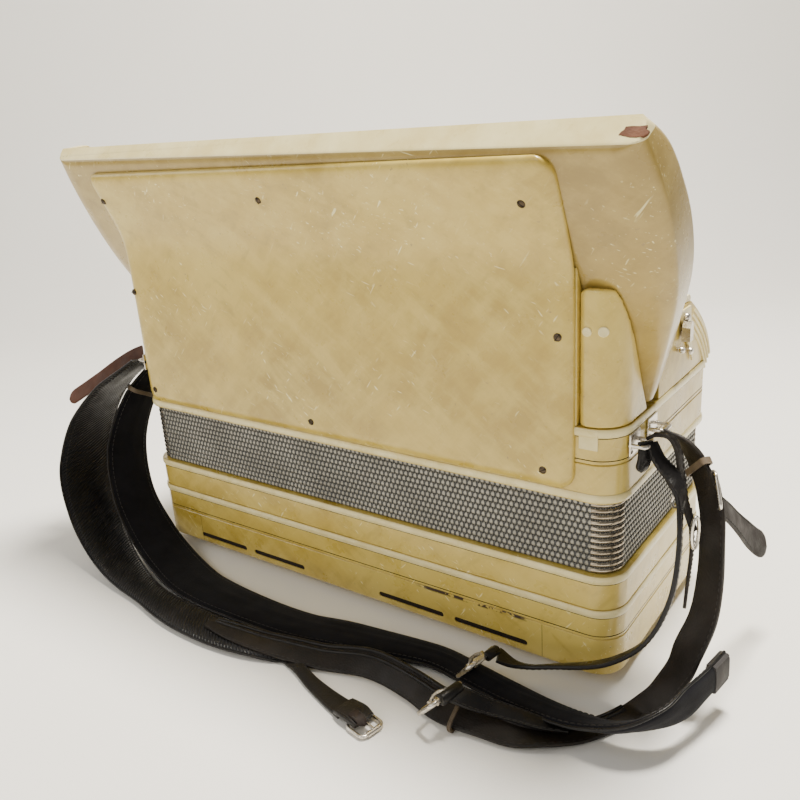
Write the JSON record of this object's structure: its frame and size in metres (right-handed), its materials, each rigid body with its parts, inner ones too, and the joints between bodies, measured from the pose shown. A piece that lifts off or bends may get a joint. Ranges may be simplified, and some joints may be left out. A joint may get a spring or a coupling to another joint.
{
  "type": "piano accordion",
  "caption": "Full-size piano accordion with folding bellows, a leaning piano keyboard, a button bass side and padded shoulder straps, standing on its bass end.",
  "frame": {"origin": "middle of the flat underside of the bass end, 8 mm above the surface the instrument stands on", "axes": "+X along the keyboard to its high-note end, -Y to the player's side, +Z from the bass end through the bellows to the treble end"},
  "size_m": [0.6143, 0.3206, 0.3841],
  "materials": {
    "pearl_celluloid": "polished pearl celluloid over wood",
    "ivory_celluloid": "polished plain celluloid",
    "wood": "bare",
    "rubber": "matte",
    "bellows_cloth": "woven, with metallic thread",
    "steel": "drawn",
    "chrome": "polished, worn",
    "velvet": "matte pile over padding",
    "leather": "polished, stitched",
    "white_key_top": "polished",
    "black_key_top": "polished"
  },
  "bodies": {
    "bass_side": {"bass_cover": "pearl_celluloid", "foot_rear_left": "rubber", "foot_rear_right": "rubber", "foot_front_left": "rubber", "foot_front_right": "rubber", "bass_box": "pearl_celluloid", "bass_bellows_frame": "pearl_celluloid", "bass_foundation_plate": "wood", "bass_reed_block_rear": "wood", "bass_reed_block_front": "wood", "bass_button_board": "ivory_celluloid", "bass_hand_strap": "leather", "bellows": "bellows_cloth"},
    "treble_side": {"treble_bellows_frame": "pearl_celluloid", "treble_box": "pearl_celluloid", "treble_foundation_plate": "wood", "treble_reed_block_rear": "wood", "treble_reed_block_front": "wood", "treble_back_frame": "pearl_celluloid", "rear_cover": "pearl_celluloid", "keyboard_bed": "pearl_celluloid", "white_key_axle": "steel", "black_key_axle": "steel", "grille": "pearl_celluloid", "grille_end_plate_left": "chrome", "grille_end_plate_right": "chrome", "register_panel": "ivory_celluloid", "strap_bracket_left": "chrome", "strap_bracket_right_rear": "chrome", "strap_bracket_right_front": "chrome", "shoulder_strap_inner_pad": "velvet", "shoulder_strap_inner_leather": "leather", "shoulder_strap_outer_pad": "velvet", "shoulder_strap_outer_leather": "leather", "back_strap": "leather", "inner_strap_buckle": "chrome", "outer_strap_buckle": "chrome", "back_strap_buckle": "chrome"},
    "bass_row_1": {"bass_button_row_1": "ivory_celluloid"},
    "bass_row_2": {"bass_button_row_2": "ivory_celluloid"},
    "bass_row_3": {"bass_button_row_3": "ivory_celluloid"},
    "bass_row_4": {"bass_button_row_4": "ivory_celluloid"},
    "bass_row_5": {"bass_button_row_5": "ivory_celluloid"},
    "bass_row_6": {"bass_button_row_6": "ivory_celluloid"},
    "air_valve": {"air_button": "chrome"},
    "white_group_1": {"white_keys_1": "white_key_top"},
    "black_group_1": {"black_keys_1": "black_key_top"},
    "white_group_2": {"white_keys_2": "white_key_top"},
    "black_group_2": {"black_keys_2": "black_key_top"},
    "white_group_3": {"white_keys_3": "white_key_top"},
    "black_group_3": {"black_keys_3": "black_key_top"},
    "white_group_4": {"white_keys_4": "white_key_top"},
    "black_group_4": {"black_keys_4": "black_key_top"},
    "white_group_5": {"white_keys_5": "white_key_top"},
    "black_group_5": {"black_keys_5": "black_key_top"},
    "white_group_6": {"white_keys_6": "white_key_top"},
    "black_group_6": {"black_keys_6": "black_key_top"},
    "white_group_7": {"white_keys_7": "white_key_top"},
    "black_group_7": {"black_keys_7": "black_key_top"},
    "shift_lever": {"treble_shift_lever": "chrome"}
  },
  "joints": [
    {"name": "bellows_slide", "type": "slide", "parent": "bass_side", "child": "treble_side", "axis": [0, 0, 1], "range_m": [0, 0.3], "deforming": ["bellows"]},
    {"name": "bass_row_1_press", "type": "slide", "parent": "bass_side", "child": "bass_row_1", "axis": [0, 0, 1], "range_m": [0, 0.004], "stiffness_N_per_m": 400, "springref_m": -0.004},
    {"name": "bass_row_2_press", "type": "slide", "parent": "bass_side", "child": "bass_row_2", "axis": [0, 0, 1], "range_m": [0, 0.004], "stiffness_N_per_m": 400, "springref_m": -0.004},
    {"name": "bass_row_3_press", "type": "slide", "parent": "bass_side", "child": "bass_row_3", "axis": [0, 0, 1], "range_m": [0, 0.004], "stiffness_N_per_m": 400, "springref_m": -0.004},
    {"name": "bass_row_4_press", "type": "slide", "parent": "bass_side", "child": "bass_row_4", "axis": [0, 0, 1], "range_m": [0, 0.004], "stiffness_N_per_m": 400, "springref_m": -0.004},
    {"name": "bass_row_5_press", "type": "slide", "parent": "bass_side", "child": "bass_row_5", "axis": [0, 0, 1], "range_m": [0, 0.004], "stiffness_N_per_m": 400, "springref_m": -0.004},
    {"name": "bass_row_6_press", "type": "slide", "parent": "bass_side", "child": "bass_row_6", "axis": [0, 0, 1], "range_m": [0, 0.004], "stiffness_N_per_m": 400, "springref_m": -0.004},
    {"name": "air_button_press", "type": "slide", "parent": "bass_side", "child": "air_valve", "axis": [0, 0, 1], "range_m": [0, 0.0038], "stiffness_N_per_m": 300, "springref_m": -0.004},
    {"name": "white_keys_1_press", "type": "hinge", "parent": "treble_side", "child": "white_group_1", "pos_m": [0, -0.0071, 0.2131], "axis": [1, 0, 0], "range_deg": [0, 1.5], "stiffness_Nm_per_rad": 1.5, "springref_deg": -8.59},
    {"name": "black_keys_1_press", "type": "hinge", "parent": "treble_side", "child": "black_group_1", "pos_m": [0, -0.0095, 0.2372], "axis": [1, 0, 0], "range_deg": [0, 2.2], "stiffness_Nm_per_rad": 1.2, "springref_deg": -8.59},
    {"name": "white_keys_2_press", "type": "hinge", "parent": "treble_side", "child": "white_group_2", "pos_m": [0, -0.0071, 0.2131], "axis": [1, 0, 0], "range_deg": [0, 1.5], "stiffness_Nm_per_rad": 1.5, "springref_deg": -8.59},
    {"name": "black_keys_2_press", "type": "hinge", "parent": "treble_side", "child": "black_group_2", "pos_m": [0, -0.0095, 0.2372], "axis": [1, 0, 0], "range_deg": [0, 2.2], "stiffness_Nm_per_rad": 1.2, "springref_deg": -8.59},
    {"name": "white_keys_3_press", "type": "hinge", "parent": "treble_side", "child": "white_group_3", "pos_m": [0, -0.0071, 0.2131], "axis": [1, 0, 0], "range_deg": [0, 1.5], "stiffness_Nm_per_rad": 1.5, "springref_deg": -8.59},
    {"name": "black_keys_3_press", "type": "hinge", "parent": "treble_side", "child": "black_group_3", "pos_m": [0, -0.0095, 0.2372], "axis": [1, 0, 0], "range_deg": [0, 2.2], "stiffness_Nm_per_rad": 1.2, "springref_deg": -8.59},
    {"name": "white_keys_4_press", "type": "hinge", "parent": "treble_side", "child": "white_group_4", "pos_m": [0, -0.0071, 0.2131], "axis": [1, 0, 0], "range_deg": [0, 1.5], "stiffness_Nm_per_rad": 1.5, "springref_deg": -8.59},
    {"name": "black_keys_4_press", "type": "hinge", "parent": "treble_side", "child": "black_group_4", "pos_m": [0, -0.0095, 0.2372], "axis": [1, 0, 0], "range_deg": [0, 2.2], "stiffness_Nm_per_rad": 1.2, "springref_deg": -8.59},
    {"name": "white_keys_5_press", "type": "hinge", "parent": "treble_side", "child": "white_group_5", "pos_m": [0, -0.0071, 0.2131], "axis": [1, 0, 0], "range_deg": [0, 1.5], "stiffness_Nm_per_rad": 1.5, "springref_deg": -8.59},
    {"name": "black_keys_5_press", "type": "hinge", "parent": "treble_side", "child": "black_group_5", "pos_m": [0, -0.0095, 0.2372], "axis": [1, 0, 0], "range_deg": [0, 2.2], "stiffness_Nm_per_rad": 1.2, "springref_deg": -8.59},
    {"name": "white_keys_6_press", "type": "hinge", "parent": "treble_side", "child": "white_group_6", "pos_m": [0, -0.0071, 0.2131], "axis": [1, 0, 0], "range_deg": [0, 1.5], "stiffness_Nm_per_rad": 1.5, "springref_deg": -8.59},
    {"name": "black_keys_6_press", "type": "hinge", "parent": "treble_side", "child": "black_group_6", "pos_m": [0, -0.0095, 0.2372], "axis": [1, 0, 0], "range_deg": [0, 2.2], "stiffness_Nm_per_rad": 1.2, "springref_deg": -8.59},
    {"name": "white_keys_7_press", "type": "hinge", "parent": "treble_side", "child": "white_group_7", "pos_m": [0, -0.0071, 0.2131], "axis": [1, 0, 0], "range_deg": [0, 1.5], "stiffness_Nm_per_rad": 1.5, "springref_deg": -8.59},
    {"name": "black_keys_7_press", "type": "hinge", "parent": "treble_side", "child": "black_group_7", "pos_m": [0, -0.0095, 0.2372], "axis": [1, 0, 0], "range_deg": [0, 2.2], "stiffness_Nm_per_rad": 1.2, "springref_deg": -8.59},
    {"name": "treble_shift", "type": "hinge", "parent": "treble_side", "child": "shift_lever", "pos_m": [0.2373, 0.0145, 0.222], "axis": [1, 0, 0], "range_deg": [-15, 15]}
  ]
}
